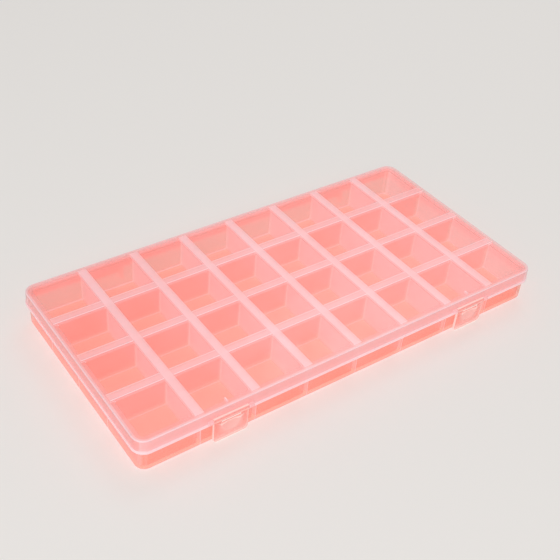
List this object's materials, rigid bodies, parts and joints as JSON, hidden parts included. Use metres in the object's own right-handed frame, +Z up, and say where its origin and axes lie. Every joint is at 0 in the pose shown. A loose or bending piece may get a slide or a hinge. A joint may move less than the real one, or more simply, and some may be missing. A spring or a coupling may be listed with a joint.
{
  "type": "compartment storage box",
  "caption": "Flat frosted plastic organizer box with a grid of square cells, a hinged lid with a deep skirt, and two snap latches on the front edge.",
  "frame": {"origin": "middle of the tray's flat underside, on the plane the box rests on", "axes": "+X along the length, +Y towards the hinges at the back, -Y towards the latches, +Z up"},
  "size_m": [0.276, 0.1434, 0.0225],
  "materials": {
    "frosted_plastic": "frosted translucent polypropylene, milky with a pale pink cast",
    "lid_plastic": "frosted translucent polypropylene, satin on top",
    "latch_plastic": "frosted translucent polypropylene, thin moulded flap"
  },
  "bodies": {
    "tray": {"tray_shell": "frosted_plastic", "row_divider_1": "frosted_plastic", "row_divider_2": "frosted_plastic", "row_divider_3": "frosted_plastic", "column_divider_1": "frosted_plastic", "column_divider_2": "frosted_plastic", "column_divider_3": "frosted_plastic", "column_divider_4": "frosted_plastic", "column_divider_5": "frosted_plastic", "column_divider_6": "frosted_plastic", "column_divider_7": "frosted_plastic", "tray_hinge_left": "frosted_plastic", "tray_hinge_right": "frosted_plastic", "catch_left": "frosted_plastic", "catch_right": "frosted_plastic"},
    "lid": {"lid": "lid_plastic", "lid_ribs": "lid_plastic", "lid_hinge_left": "lid_plastic", "lid_hinge_right": "lid_plastic", "latch_pin_left": "lid_plastic", "latch_pin_right": "lid_plastic"},
    "latch_left": {"latch_left": "latch_plastic"},
    "latch_right": {"latch_right": "latch_plastic"}
  },
  "joints": [
    {"name": "lid_swing", "type": "hinge", "parent": "tray", "child": "lid", "pos_m": [0, 0.0705, 0.01125], "axis": [-1, 0, 0], "range_deg": [0, 180]},
    {"name": "latch_left_swing", "type": "hinge", "parent": "lid", "child": "latch_left", "pos_m": [-0.0845, -0.06935, 0.016], "axis": [-1, 0, 0], "range_deg": [0, 120]},
    {"name": "latch_right_swing", "type": "hinge", "parent": "lid", "child": "latch_right", "pos_m": [0.0845, -0.06935, 0.016], "axis": [-1, 0, 0], "range_deg": [0, 120]}
  ]
}
